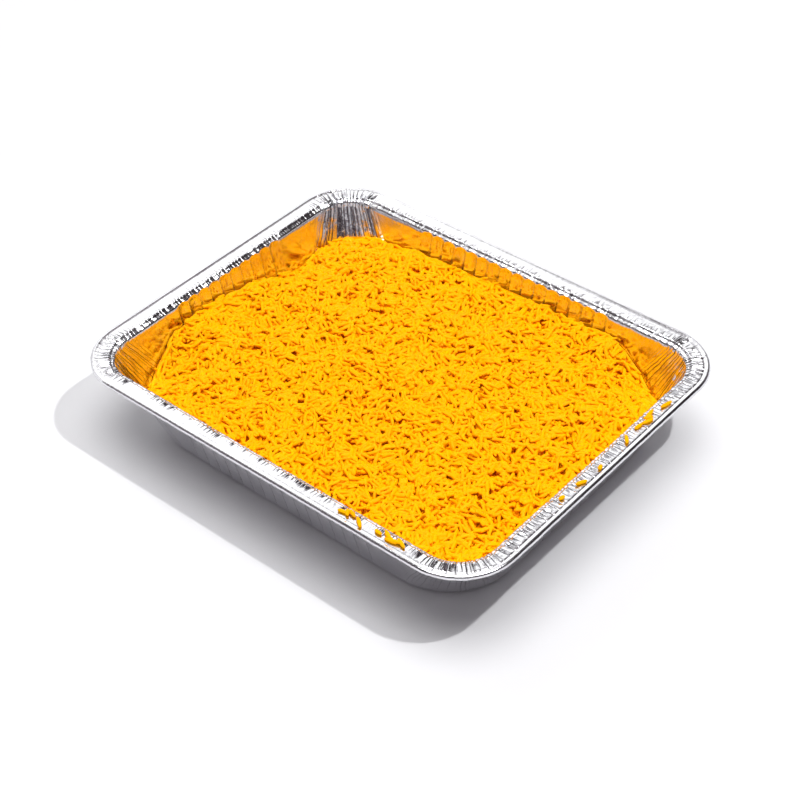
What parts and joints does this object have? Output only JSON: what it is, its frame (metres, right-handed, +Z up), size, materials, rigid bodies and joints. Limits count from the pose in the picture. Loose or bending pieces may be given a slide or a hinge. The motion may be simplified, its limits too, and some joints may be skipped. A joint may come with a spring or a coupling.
{
  "type": "foil tray of yellow rice",
  "caption": "Rectangular aluminium foil tray with a rolled rim and fluted walls, filled nearly to the rim with loose yellow long-grain rice, and with a few grains spilt on the rim.",
  "frame": {"origin": "middle of the tray's flat base, on the surface it rests on", "axes": "+Z up, +X along the tray's long side, +Y along its short side"},
  "size_m": [0.324, 0.2646, 0.0581],
  "materials": {
    "foil": "bright rolled foil, pressed and lightly crinkled",
    "rice": "cooked rice coloured yellow, with a soft moist sheen"
  },
  "bodies": {
    "root": {"foil_tray": "foil", "rice": "rice"}
  },
  "joints": []
}
